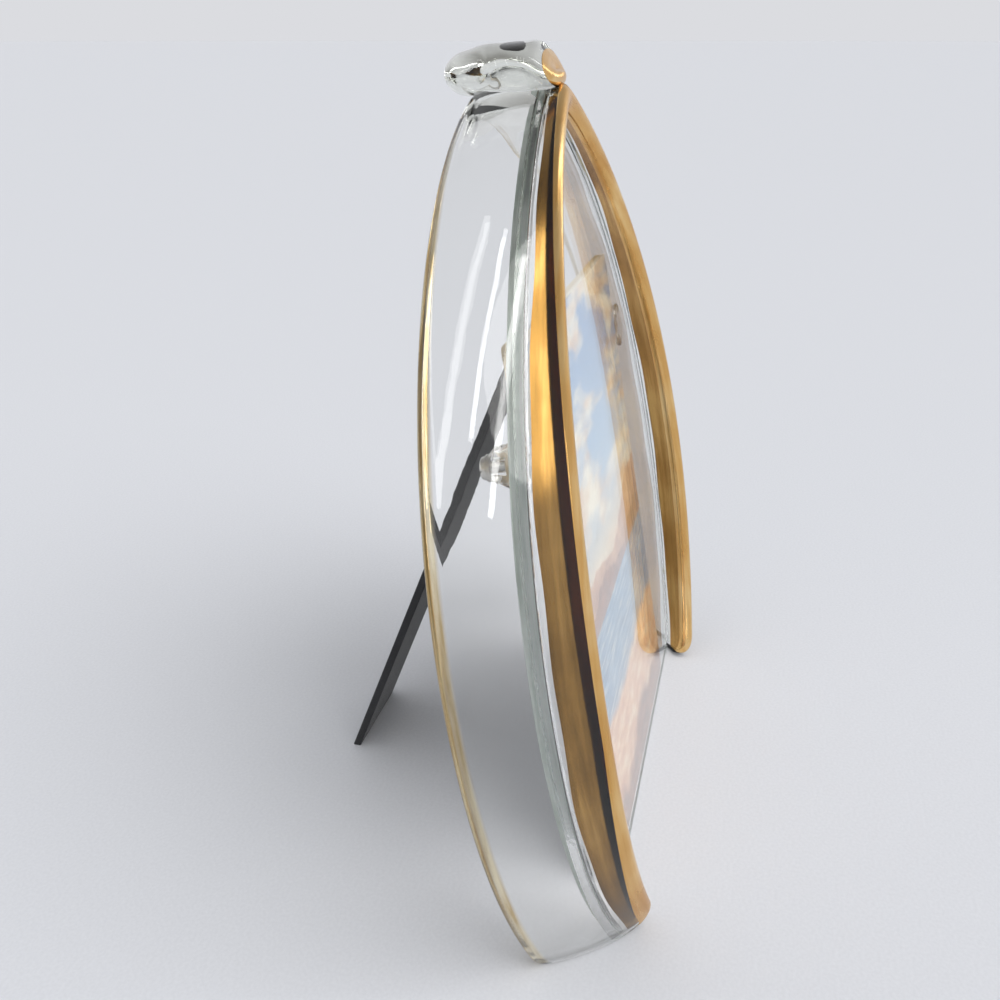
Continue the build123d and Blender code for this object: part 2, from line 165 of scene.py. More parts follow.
# Mesh: steps along and round each shape, and how its points are found
outer_steps = 16
front_steps = 12
band_steps = 10
inner_steps = 14
rear_steps = 10
foot_round_steps = 5
foot_stations = (             # heights of the level rows over the gilding's lower end
    3.5, 4.4, 5.4, 6.4, 7.4, 8.6, 9.8, 11.4,
    13.2, 15.5, 18.0, 21.0, 24.5, 28.5, 33.0,
)
wing_steps = 84
crown_steps = 46
crown_steps_round = 72
panel_steps = 150
stud_steps = 6
stud_steps_round = 64
floor_steps_round = 96
halvings = 44
settling_rounds = 3           # a section and its turn depend on each other
panel_settling_rounds = 5
foot_turn_guess = -0.5
foot_search_margin = 0.2
apex_search_start = 0.5
sharp_angle = math.radians(35)
flat_ended = ("panel_glass", "glass_stud")      # their big end faces stay flat
band_mark, edge_mark = 1, 2   # on faces that carry the gilt band and its edge
gilt_lit_and_shaded = ("gilt", "gilt_edge_lit", "gilt_under_shaded")     # on the band, on its edge and under both: one gold, with painted shade on the band and underside and a painted highlight on the edge

arch_rise = arch_height - widest_height
arch_radius = (arch_rise**2 + arch_half_width**2) / (2 * arch_half_width)
arch_centre_x = arch_half_width - arch_radius
apex_turn = math.atan2(arch_rise, -arch_centre_x)
lowest_turn = -math.asin(min(1, (widest_height + 6 * wall_thickness) / arch_radius))
search_start = lowest_turn - foot_search_margin
lean_sine = math.sin(lean)
lean_cosine = math.cos(lean)
panel_rear_depth = panel_face_depth - panel_thickness
panel_sine = math.sin(panel_lean)
panel_cosine = math.cos(panel_lean)
edge_root = wall_thickness / 2 - edge_round     # where the round edge starts, before the rim
panel_front_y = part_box("front_panel")[0].y / mm
rim_foot = panel_front_y - panel_lift * math.tan(panel_lean) + panel_face_depth / panel_cosine


def to_frame(across, level, depth, angle=lean):
    """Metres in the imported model's frame, from leaning millimetres; takes arrays."""
    y = rim_foot + level * math.sin(angle) - depth * math.cos(angle)
    z = level * math.cos(angle) + depth * math.sin(angle)
    return np.stack([across, y, z], -1) * mm


def front_inset_at(turn):
    """How far inwards the front rim lies from the rear rim: less towards the apex."""
    return front_inset * (1 - inset_fade_share * (np.maximum(turn, 0) / apex_turn) ** 2)


def front_depth_at(turn):
    """Depth of the front rim, which bows back above and below its middle."""
    level = widest_height + (arch_radius - front_inset_at(turn)) * np.sin(turn)
    return wall_depth - (level - front_bow_height) ** 2 / (2 * front_bow_radius)


def wall_curve(turn):
    """Centre, radius and end angles of the wall's cross curve: x inwards, y forwards."""
    reach_front = front_inset_at(turn)
    depth_front = front_depth_at(turn)
    chord = np.hypot(reach_front, depth_front)
    radius = (chord**2 / 4 + wall_bulge**2) / (2 * wall_bulge)
    stretch = (radius - wall_bulge) / chord
    centre_x = reach_front / 2 + stretch * depth_front
    centre_y = depth_front / 2 - stretch * reach_front
    rear_angle = np.arctan2(-centre_y, -centre_x) % (2 * math.pi)
    front_angle = np.arctan2(depth_front - centre_y, reach_front - centre_x) % (2 * math.pi)
    return centre_x, centre_y, radius, rear_angle, front_angle


def arch_point(turn, reach):
    """Across and level of a point that lies inwards of the outer face by a reach."""
    across = arch_centre_x + (arch_radius - reach) * np.cos(turn)
    return across, widest_height + (arch_radius - reach) * np.sin(turn)


def wall_point(turn, inset, share, past=0.0):
    """Leaning point of the wall, under its outer face by an inset; past is beyond a rim."""
    centre_x, centre_y, radius, rear_angle, front_angle = wall_curve(turn)
    angle = rear_angle + share * (front_angle - rear_angle) - past / radius
    reach = centre_x + (radius - inset) * np.cos(angle)
    depth = centre_y + (radius - inset) * np.sin(angle)
    return *arch_point(turn, reach), depth


def wall_reach(turn, inset, depth):
    """Inward reach of the wall's face at a depth, under the outer face by an inset."""
    centre_x, centre_y, radius, _, _ = wall_curve(turn)
    return centre_x - np.sqrt((radius - inset) ** 2 - (depth - centre_y) ** 2)


def panel_depth_at(turn):
    """Depth of the panel's front face where the wall meets it."""
    level = arch_point(turn, wall_thickness + front_inset_at(turn) / 2)[1]
    return panel_face_depth + level * math.tan(lean - panel_lean)


def wall_share(turn, inset, depth):
    """Share of the way from the rear rim to the front rim at which the wall has a depth."""
    _, centre_y, radius, rear_angle, front_angle = wall_curve(turn)
    angle = math.pi - np.arcsin((depth - centre_y) / (radius - inset))
    return (angle - rear_angle) / (front_angle - rear_angle)


def solve_turn(reached, low, high, count):
    """Turns at which a growing function reaches zero, by halving; one for each of the values."""
    low = np.full(count, low, float)
    high = np.full(count, high, float)
    for _ in range(halvings):
        middle = (low + high) / 2
        over = reached(middle) > 0
        high = np.where(over, middle, high)
        low = np.where(over, low, middle)
    return (low + high) / 2


def toe_setback(height, radius, slope):
    """How far a toe's rounding cuts into an edge that leans over it by a slope, at a height."""
    top = radius * (1 + math.sin(slope))
    height = np.clip(height, 0, top)
    centre = radius * (math.tan(slope) + 1 / math.cos(slope))
    arc = np.sqrt(np.maximum(radius**2 - (radius - height) ** 2, 0))
    return (centre - arc - height * math.tan(slope)) * lean_cosine


def skin_setback(height):
    """How far the foot's rounding draws the wall's faces in, at a height."""
    height = np.clip(height, 0, foot_edge_radius)
    return foot_edge_radius - np.sqrt(foot_edge_radius**2 - (foot_edge_radius - height) ** 2)


def spaced(count, start=0.0, end=1.0):
    """Evenly spaced values from start to end, with both of them."""
    return [start + (end - start) * step / count for step in range(count + 1)]


def wall_loop():
    """Closed loop round the wall's section: kinds of face, each with a share or angle on it."""
    loop = [("outer", share) for share in spaced(outer_steps)]
    loop += [("lap", share) for share in (gilt_feather / gilt_lap, lap_middle_share)]
    loop += [("front", math.pi * share) for share in spaced(front_steps)]
    loop += [("band", share) for share in reversed(spaced(band_steps)[1:-1])]
    loop += [("band", gilt_feather / (wall_depth - panel_face_depth)), ("band", 0.0)]
    loop += [("inner", share) for share in reversed(spaced(inner_steps)[:-1])]
    loop += [("rear", math.pi * share) for share in spaced(rear_steps)[1:-1]]
    return loop


def section_values(turn, height):
    """Inset, share and past of each point of the loop, for one turn and height per point."""
    depth = front_depth_at(turn)
    skin = skin_setback(height)
    front_slope = lean - math.atan(front_bow_height / front_bow_radius)
    first = (edge_root + toe_setback(height, rear_toe_radius, -lean)) / depth
    last = 1 - (edge_root + toe_setback(height, front_toe_radius, front_slope)) / depth
    waver = gilt_band_waver * (np.sin(9 * turn) + 0.6 * np.sin(23 * turn + 1))
    border = panel_depth_at(turn) + gilt_panel_gap + waver
    band = np.minimum(wall_share(turn, wall_thickness, border), last - gilt_least_share)
    level = arch_point(turn, 0)[1]
    lap = 1 - (gilt_lap + gilt_foot_lap * np.clip(1 - level / widest_height, 0, 1)) / depth
    inset = np.zeros(len(turn))
    share = np.zeros(len(turn))
    past = np.zeros(len(turn))
    for place, (kind, at) in enumerate(wall_loop()):
        lower, upper, edge_last = first[place], last[place], skin[place]
        core = wall_thickness - 2 * edge_last
        lap_share = min(lap[place], upper - lap_least_share)
        if kind == "outer":
            values = (edge_last, lower + at * (lap_share - lower), 0)
        elif kind == "lap":
            values = (edge_last, lap_share + at * (upper - lap_share), 0)
        elif kind == "front":
            across = edge_last + core / 2 * (1 - math.cos(at))
            values = (across, upper, core / 2 * math.sin(at))
        elif kind == "band":
            values = (edge_last + core, band[place] + at * (upper - band[place]), 0)
        elif kind == "inner":
            values = (edge_last + core, lower + at * (band[place] - lower), 0)
        else:
            across = edge_last + core / 2 * (1 + math.cos(at))
            values = (across, lower, -core / 2 * math.sin(at))
        inset[place], share[place], past[place] = values
    return inset, share, past


def height_of(turn, inset, share, past):
    """Height over the table of a point of the wall."""
    _, level, depth = wall_point(turn, inset, share, past)
    return level * lean_cosine + depth * lean_sine


def foot_heights():
    """Heights of the level stations over the foot, dense where it is rounded."""
    shares = spaced(foot_round_steps)
    low = [foot_edge_radius * (1 - math.cos(math.pi / 2 * share)) for share in shares]
    return low + [gilt_foot_height, gilt_foot_height + gilt_feather, *foot_stations]


def wing_grid():
    """Leaning points of the right wing, one row per station from the table to the apex."""
    count = len(wall_loop())
    rows = []
    for height in foot_heights():
        turn = np.full(count, foot_turn_guess)
        for _ in range(settling_rounds):
            values = section_values(turn, np.full(count, height))
            turn = solve_turn(
                lambda at: height_of(at, *values) - height, search_start, apex_turn, count
            )
        rows.append(np.stack(wall_point(turn, *values), -1))
    start = turn
    tall = np.full(count, arch_height)
    end = np.full(count, apex_turn)
    for _ in range(settling_rounds):
        values = section_values(end, tall)
        end = solve_turn(lambda at: -wall_point(at, *values)[0], 0, math.pi / 2, count)
    for share in spaced(wing_steps)[1:]:
        turn = start + (end - start) * share
        rows.append(np.stack(wall_point(turn, *section_values(turn, tall)), -1))
    grid = np.array(rows)
    grid[-1, :, 0] = 0
    inset, _, _ = section_values(end, tall)
    reach = apex_round_outer + (apex_round_inner - apex_round_outer) * inset / wall_thickness
    across = grid[:, :, 0]
    fade = np.clip(1 - across / (arch_half_width * apex_round_share), 0, 1) ** 2
    slope = math.tan(math.pi / 2 - apex_turn)
    grid[:, :, 1] -= fade * slope * (np.hypot(across, reach) - across)
    return grid


def mesh_object(name, points, faces):
    """New object of a mesh, with its normals turned outwards."""
    mesh = bpy.data.meshes.new(name)
    mesh.from_pydata([tuple(point) for point in points], [], faces)
    made = bpy.data.objects.new(name, mesh)
    bpy.context.scene.collection.objects.link(made)
    shape = bmesh.new()
    shape.from_mesh(mesh)
    bmesh.ops.recalc_face_normals(shape, faces=shape.faces)
    shape.to_mesh(mesh)
    shape.free()
    return made


def ring_faces(rings, around):
    """Quads between rings of points, which follow each other in one list, and two end caps."""
    faces = []
    for ring in range(rings - 1):
        for place in range(around):
            after = (place + 1) % around
            low, high = ring * around, (ring + 1) * around
            faces.append((low + place, low + after, high + after, high + place))
    faces.append(tuple(range(around)))
    faces.append(tuple((rings - 1) * around + place for place in range(around)))
    return faces


def round_turns(count):
    """Angles evenly round a circle."""
    return np.array(spaced(count)[:-1]) * 2 * math.pi


def tube_over_arch(name, right):
    """Closed tube through rows of leaning points, from the right foot to the left one."""
    left = right[:-1].copy()
    left[:, :, 0] *= -1
    rows = np.concatenate([right, left[::-1]])
    points = to_frame(rows[:, :, 0], rows[:, :, 1], rows[:, :, 2]).reshape(-1, 3)
    return mesh_object(name, points, ring_faces(len(rows), rows.shape[1]))


def smooth(piece):
    """Smooth shading, with sharp edges and flat end faces kept."""
    mesh = piece.data
    mesh.shade_smooth()
    mesh.set_sharp_from_angle(angle=sharp_angle)
    if piece.name.startswith(flat_ended):
        for face in mesh.polygons:
            face.use_smooth = len(face.vertices) <= 4


def build_arch():
    """Both wings in one closed tube, with a mark on each face that is gilded."""
    piece = tube_over_arch("arch_glass", wing_grid())
    kinds = [kind for kind, _ in wall_loop()]
    count = len(kinds)
    last_row = len(piece.data.vertices) // count - 1
    gilded = {place for place, kind in enumerate(kinds) if kind in ("lap", "front", "band")}
    gilded.add(kinds.index("lap") - 1)
    on_band = {place for place, kind in enumerate(kinds) if kind == "band"}
    low_rows = foot_heights().index(gilt_foot_height)
    for face in piece.data.polygons:
        places = {vertex % count for vertex in face.vertices}
        stations = {vertex // count for vertex in face.vertices}
        near_end = min(min(stations), last_row - max(stations))
        if len(places) == 2 and places <= gilded and near_end >= low_rows:
            face.material_index = band_mark if places <= on_band else edge_mark
    return piece


def crown_curve(share, table):
    """Smooth curve through a table of shares along the crown."""
    stations = np.array(crown_station_shares)
    values = np.array(table)
    slopes = np.gradient(values, stations)
    span = np.clip(np.searchsorted(stations, share) - 1, 0, len(stations) - 2)
    width = stations[span + 1] - stations[span]
    at = (share - stations[span]) / width
    return (
        (2 * at**3 - 3 * at**2 + 1) * values[span]
        + (at**3 - 2 * at**2 + at) * width * slopes[span]
        + (3 * at**2 - 2 * at**3) * values[span + 1]
        + (at**3 - at**2) * width * slopes[span + 1]
    )


def crown_profile(share, table):
    """The same, closed by rounded ends."""
    end = np.clip(np.minimum(share, 1 - share) / crown_end_share, 0, 1)
    rounding = (1 - (1 - end) ** crown_end_power) ** (1 / crown_end_power)
    return np.minimum(crown_curve(share, table), 1) * rounding


def build_crown():
    """Lumpy bead over the apex, with a mark on its gilded front end."""
    length = crown_overhang + front_depth_at(apex_turn)
    border = 1 - gilt_crown_reach / length
    shares = {0.5 - 0.5 * math.cos(math.pi * step) for step in spaced(crown_steps)[1:-1]}
    shares = np.array(sorted(shares | {border, border + gilt_feather / length}))
    around = round_turns(crown_steps_round)
    share, angle = np.meshgrid(shares, around, indexing="ij")
    lumps = [
        swelling * np.sin(waves * angle + twist * share + start)
        for swelling, waves, twist, start in crown_lumps
    ]
    lump = sum(lumps) - crown_shrink_share
    half_width = crown_width / 2 * crown_profile(share, crown_width_shares) * (1 + lump)
    half_height = crown_thickness / 2 * crown_profile(share, crown_thickness_shares) * (1 + lump)
    middle = arch_height + crown_curve(share, crown_rise_shares) * crown_thickness
    across = half_width * np.cos(angle)
    level = middle + half_height * np.sin(angle)
    tilt = crown_face_tilt * np.clip(2 * share - 1, 0, 1) ** 2 * (0.5 + 0.5 * np.sin(angle))
    depth = share * length - crown_overhang - tilt
    points = to_frame(across, level, depth).reshape(-1, 3)
    count = len(around)
    piece = mesh_object("crown", points, ring_faces(len(shares), count))
    first = list(shares).index(border)
    for face in piece.data.polygons:
        if min(vertex // count for vertex in face.vertices) >= first:
            face.material_index = edge_mark
    return piece


def united(name, piece, other):
    """One new mesh from the union of two pieces, which are deleted."""
    modifier = piece.modifiers.new("union", "BOOLEAN")
    modifier.operation = "UNION"
    modifier.solver = "EXACT"
    modifier.object = other
    graph = bpy.context.evaluated_depsgraph_get()
    mesh = bpy.data.meshes.new_from_object(piece.evaluated_get(graph))
    made = bpy.data.objects.new(name, mesh)
    bpy.context.scene.collection.objects.link(made)
    for old in (piece, other):
        bpy.data.objects.remove(old)
    return made


def gilt_from(piece, name):
    """Thin closed skin over the marked faces, with a tone of the one gold for each side of it, lit or shaded
    by paint.
    """
    source = piece.data
    normals = [vertex.normal.copy() for vertex in source.vertices]
    marked = [face for face in source.polygons if face.material_index in (band_mark, edge_mark)]
    faces = [tuple(face.vertices) for face in marked]
    used = sorted({vertex for face in faces for vertex in face})
    order = {vertex: place for place, vertex in enumerate(used)}
    pairs = [pair for face in faces for pair in zip(face, face[1:] + face[:1])]
    edges = set(pairs)
    border = [(start, end) for start, end in pairs if (end, start) not in edges]
    on_border = {vertex for edge in border for vertex in edge}
    top, low = [], []
    for vertex in used:
        place = source.vertices[vertex].co
        rise = -gilt_border_sink if vertex in on_border else gilt_proud
        top.append(place + normals[vertex] * rise * mm)
        low.append(place - normals[vertex] * gilt_root * mm)
    count = len(used)
    made_faces = [tuple(order[vertex] for vertex in face) for face in faces]
    made_faces += [tuple(order[vertex] + count for vertex in reversed(face)) for face in faces]
    for start, end in border:
        first, second = order[start], order[end]
        made_faces.append((second, first, first + count, second + count))
    skin = mesh_object(name, top + low, made_faces)
    for place, face in enumerate(marked):
        skin.data.polygons[place].material_index = face.material_index - band_mark
        skin.data.polygons[place + len(faces)].material_index = gilt_lit_and_shaded.index("gilt_under_shaded")
    return skin


def panel_edge(turn, inset=0.0):
    """Across, level up the panel, and level and depth up the arch, of the panel's front edge."""
    rake = lean - panel_lean
    depth = np.full(len(turn), panel_face_depth)
    for _ in range(panel_settling_rounds):
        reach = wall_reach(turn, wall_thickness, depth) + panel_gap + inset
        across, level = arch_point(turn, reach)
        depth = panel_face_depth + level * math.tan(rake)
    return across, level * math.cos(rake) + depth * math.sin(rake), level, depth


def panel_turns(foot, inset=0.0):
    """Turns from a foot's level up the panel to its apex."""
    start = solve_turn(
        lambda at: panel_edge(at, inset)[1] - foot, search_start, foot_search_margin, 1
    )[0]
    end = solve_turn(lambda at: -panel_edge(at, inset)[0], apex_search_start, math.pi / 2, 1)[0]
    return np.array(spaced(panel_steps, start, end))


def panel_ring(depth, inset):
    """Leaf outline of the panel at a depth, drawn in from its edge by an inset."""
    foot = (panel_lift + inset - depth * panel_sine) / panel_cosine
    across, level, _, _ = panel_edge(panel_turns(foot, inset), inset)
    across[-1] = 0
    across = np.concatenate([across, -across[-2::-1]])
    level = np.concatenate([level, level[-2::-1]])
    return to_frame(across, level, np.full(len(level), depth), panel_lean)


def build_panel():
    """Flat clear sheet with polished, chamfered edges."""
    rear = panel_rear_depth + print_clearance
    bend = panel_chamfer * chamfer_bend_share
    steps = [
        (rear, panel_chamfer),
        (rear + bend, bend),
        (rear + panel_chamfer, 0),
        (panel_face_depth - panel_chamfer, 0),
        (panel_face_depth - bend, bend),
        (panel_face_depth, panel_chamfer),
    ]
    rings = [panel_ring(depth, inset) for depth, inset in steps]
    return mesh_object("panel_glass", np.concatenate(rings), ring_faces(len(rings), len(rings[0])))


def build_bead():
    """Clear bond in the joint between panel and wall, with a wavy fillet on the front."""
    foot = (panel_lift + bead_foot_gap - panel_face_depth * panel_sine) / panel_cosine
    turn = panel_turns(foot)
    across, _, level, front = panel_edge(turn)
    across[-1] = 0
    step = np.arange(len(turn))
    waver = np.sin(0.43 * step) * np.sin(0.17 * step + 1) + np.sin(0.23 * step) / 2
    fillet = bead_reach + bead_waver * waver
    gap = bead_clearance

    def on_wall(rise):
        """Point on the wall's inner face, this far in front of the panel's face."""
        reach = wall_reach(turn, wall_thickness, front + rise) + gap
        return *arch_point(turn, reach), front + rise

    def on_panel(inset, rise):
        """Point beside the panel, inside its edge by an inset."""
        return across - inset * np.cos(turn), level - inset * np.sin(turn), front + rise

    tip = on_wall(fillet)
    lip = on_panel(fillet, gap)
    hollow = [
        (1 - bead_hollow_share) * (first + last) / 2 + bead_hollow_share * corner
        for first, last, corner in zip(tip, lip, on_panel(0, gap))
    ]
    section = [
        tip,
        on_wall(0),
        on_wall(-bead_depth / 2),
        on_wall(-bead_depth),
        on_panel(-gap, -bead_depth),
        on_panel(-gap, -panel_chamfer),
        on_panel(panel_chamfer / 2 - gap, -panel_chamfer / 2 + gap),
        on_panel(panel_chamfer, gap),
        lip,
        hollow,
    ]
    rows = np.array(section).transpose(2, 0, 1)
    rows[-1, :, 0] = 0
    return tube_over_arch("panel_bond", rows)


def build_stud(name, side):
    """Turned clear cone with a soft shoulder and the bore for its screw."""
    end = stud_end_radius
    slope = (stud_base_radius - end) / (stud_height - stud_edge_round)
    profile = [(stud_base_radius - cut, rise) for cut, rise in stud_foot_round]
    profile += [
        (stud_base_radius - slope * rise, rise)
        for rise in spaced(stud_steps, stud_side_start, stud_height - 2 * stud_edge_round)
    ]
    profile += [
        (
            end - stud_edge_round + stud_edge_round * math.cos(turn) + slope * stud_round_shift,
            stud_height - stud_edge_round + stud_edge_round * math.sin(turn),
        )
        for turn in spaced(stud_steps, stud_round_start, math.pi / 2)
    ]
    profile += [
        (stud_bore_radius + stud_bore_chamfer, stud_height),
        (stud_bore_radius, stud_height - stud_bore_chamfer),
        (stud_bore_radius, stud_height - stud_bore_depth),
    ]
    across = side * (print_width / 2 + stud_board_gap + stud_base_radius)
    around = round_turns(stud_steps_round)
    rings = [
        to_frame(
            across + radius * np.cos(around),
            stud_level + radius * np.sin(around),
            np.full(len(around), panel_rear_depth - rise),
            panel_lean,
        )
        for radius, rise in profile
    ]
    return mesh_object(name, np.concatenate(rings), ring_faces(len(rings), len(around)))


# Materials


def node(tree, kind, inputs=None, **settings):
    """Add a shader node; each input is a socket to link, or a value."""
    made = tree.nodes.new("ShaderNode" + kind)
    for key, value in settings.items():
        setattr(made, key, value)
    for key, value in (inputs or {}).items():
        if isinstance(value, bpy.types.NodeSocket):
            tree.links.new(value, made.inputs[key])
        else:
            made.inputs[key].default_value = value
    return made


def colour(red, green, blue):
    """Linear colour from display values of 0 to 255."""
    def linear(value):
        share = value / 255
        return share / 12.92 if share <= 0.04045 else ((share + 0.055) / 1.055) ** 2.4

    return (linear(red), linear(green), linear(blue), 1)


def ramp(tree, factor, stops):
    """Colour ramp through (position, colour) stops."""
    made = node(tree, "ValToRGB", {"Fac": factor})
    elements = made.color_ramp.elements
    while len(elements) < len(stops):
        elements.new(1)
    for element, (position, _) in zip(elements, stops):
        element.position = position
    for element, (_, shade) in zip(elements, stops):
        element.color = shade
    return made.outputs["Color"]


def grade(tree, factor, low, high, start=0.0, end=1.0):
    """Value from low to high as a factor goes from start to end."""
    inputs = {"Value": factor, "From Min": start, "From Max": end, "To Min": low, "To Max": high}
    return node(tree, "MapRange", inputs).outputs["Result"]


def noise(tree, scale, detail, place, **inputs):
    """Noise of a scale in waves per metre."""
    values = {"Scale": scale, "Detail": detail, **inputs, "Vector": place}
    return node(tree, "TexNoise", values).outputs["Fac"]


def bump(tree, height, distance):
    """Normal of a relief whose height is a factor times a distance in millimetres."""
    inputs = {"Height": height, "Distance": distance * mm, "Strength": 1.0}
    return node(tree, "Bump", inputs).outputs["Normal"]


def mixed(tree, factor, first, second):
    """First colour where the factor is 0, second where it is 1."""
    return node(tree, "Mix", {0: factor, 6: first, 7: second}, data_type="RGBA").outputs[2]


def math_node(tree, operation, first, second=0.0, third=0.0):
    """Result of a math operation on sockets or values."""
    inputs = {0: first, 1: second, 2: third}
    return node(tree, "Math", inputs, operation=operation).outputs[0]


def new_material(name):
    """Material, its tree, its main shader and the place of each point in metres."""
    material = bpy.data.materials.new(name)
    material.use_nodes = True
    tree = material.node_tree
    place = node(tree, "TexCoord").outputs["Object"]
    return material, tree, tree.nodes["Principled BSDF"], place


def set_shader(tree, shader, links, **values):
    """Link sockets to a shader's inputs, and set others to values."""
    for key, socket in links.items():
        tree.links.new(socket, shader.inputs[key])
    for key, value in values.items():
        shader.inputs[key.replace("_", " ")].default_value = value


def glass_material(name, wave_size, wave_height, tint, density):
    """Clear glass with the slow waves of fire-polished skin, faint smears and a body tint."""
    material, tree, shader, place = new_material(name)
    waves = noise(tree, 1 / (wave_size * mm), 1.0, place)
    fine = noise(tree, 5 / (wave_size * mm), 2.0, place)
    height = math_node(tree, "MULTIPLY_ADD", fine, 0.06, waves)
    smears = noise(tree, 60.0, 4.0, place)
    links = {
        "Normal": bump(tree, height, wave_height),
        "Roughness": grade(tree, smears, 0.0, 0.035, 0.48, 0.75),
    }
    set_shader(tree, shader, links, Transmission_Weight=1.0, IOR=1.5, Base_Color=(1, 1, 1, 1))
    absorb = node(tree, "VolumeAbsorption", {"Color": tint, "Density": density})
    tree.links.new(absorb.outputs[0], tree.nodes["Material Output"].inputs["Volume"])
    return material


def arch_depth(tree, place):
    """Depth of a place in front of the rear rim's plane, in metres."""
    forward = (0.0, -lean_cosine, lean_sine)
    depth = node(tree, "VectorMath", {0: place, 1: forward}, operation="DOT_PRODUCT").outputs["Value"]
    return math_node(tree, "ADD", depth, rim_foot * mm * lean_cosine)


def along_arch(tree, place):
    """Place bent to follow the arch, so that noise runs along its wings in streaks."""
    axes = node(tree, "SeparateXYZ", {"Vector": place}).outputs
    side = math_node(tree, "SUBTRACT", math_node(tree, "ABSOLUTE", axes["X"]), arch_centre_x * mm)
    rise = math_node(tree, "SUBTRACT", axes["Z"], widest_height * mm)
    flat = node(tree, "CombineXYZ", {"X": side, "Y": rise}).outputs[0]
    reach = node(tree, "VectorMath", {0: flat}, operation="LENGTH").outputs["Value"]
    turn = math_node(tree, "ARCTAN2", rise, side)
    hand = math_node(tree, "SIGN", axes["X"])
    length = math_node(tree, "MULTIPLY_ADD", turn, arch_radius * mm * streak_stretch, hand)
    return node(tree, "CombineXYZ", {"X": reach, "Y": arch_depth(tree, place), "Z": length}).outputs[0]


def rear_rim(tree):
    """Share that is 1 on the rounded rear rim of the arch and 0 in front of it: where the painted golden
    reflection goes.
    """
    place = node(tree, "TexCoord").outputs["Object"]
    depth = arch_depth(tree, place)
    near_rim = grade(tree, depth, 1.0, 0.0, rear_rim_start * mm, rear_rim_end * mm)
    height = node(tree, "SeparateXYZ", {"Vector": place}).outputs["Z"]
    fade_start = crown_foot - crown_foot_fade
    under_crown = grade(tree, height, 1.0, 0.0, fade_start * mm, crown_foot * mm)
    return math_node(tree, "MULTIPLY", near_rim, under_crown)


def sheet_edge(tree):
    """Share that is 0 on the flat faces of a sheet with the panel's lean, and 1 on its edge."""
    facing = node(tree, "NewGeometry").outputs["Normal"]
    flat = (0.0, -panel_cosine, panel_sine)
    along = node(tree, "VectorMath", {0: facing, 1: flat}, operation="DOT_PRODUCT").outputs["Value"]
    return grade(tree, math_node(tree, "ABSOLUTE", along), 1.0, 0.0, 0.3, 0.6)


def glass_with_painted_sheen(material, mask, dark, light, rough, bright):
    """Roughen glass, and paint on it in fine streaks a tinted mirror skin that is painted reflection, where
    a mask is 1.
    """
    tree = material.node_tree
    shader = tree.nodes["Principled BSDF"]
    place = node(tree, "TexCoord").outputs["Object"]
    share = mask(tree)
    streaks = noise(tree, 700.0, 3.0, along_arch(tree, place))
    # painted reflection: tinted streaks, made to mirror by the metallic share below
    skin = ramp(tree, streaks, [(0.38, dark), (0.62, light)])
    clear = shader.inputs["Roughness"].links[0].from_socket
    tree.links.new(mixed(tree, share, (1, 1, 1, 1), skin), shader.inputs["Base Color"])
    tree.links.new(math_node(tree, "MULTIPLY_ADD", share, rough, clear), shader.inputs["Roughness"])
    tree.links.new(math_node(tree, "MULTIPLY", share, bright), shader.inputs["Metallic"])
    return material


def gilt_material(name, dark, middle, light, rough):
    """Fired liquid gold with drawn streaks, clouds where it is thin, and pinholes."""
    material, tree, shader, place = new_material(name)
    streaks = noise(tree, 420.0, 4.0, along_arch(tree, place))
    clouds = noise(tree, 34.0, 3.0, place)
    specks = noise(tree, 1900.0, 2.0, place)
    tone = math_node(tree, "MULTIPLY_ADD", streaks, 0.45, math_node(tree, "MULTIPLY", clouds, 0.55))
    relief = math_node(tree, "MULTIPLY_ADD", specks, 0.25, streaks)
    links = {
        "Base Color": ramp(tree, tone, [(0.34, dark), (0.50, middle), (0.64, light)]),
        "Roughness": grade(tree, tone, rough * 1.5, rough * 0.7, 0.3, 0.7),
        "Normal": bump(tree, relief, 0.010),
    }
    set_shader(tree, shader, links, Metallic=1.0)
    return material


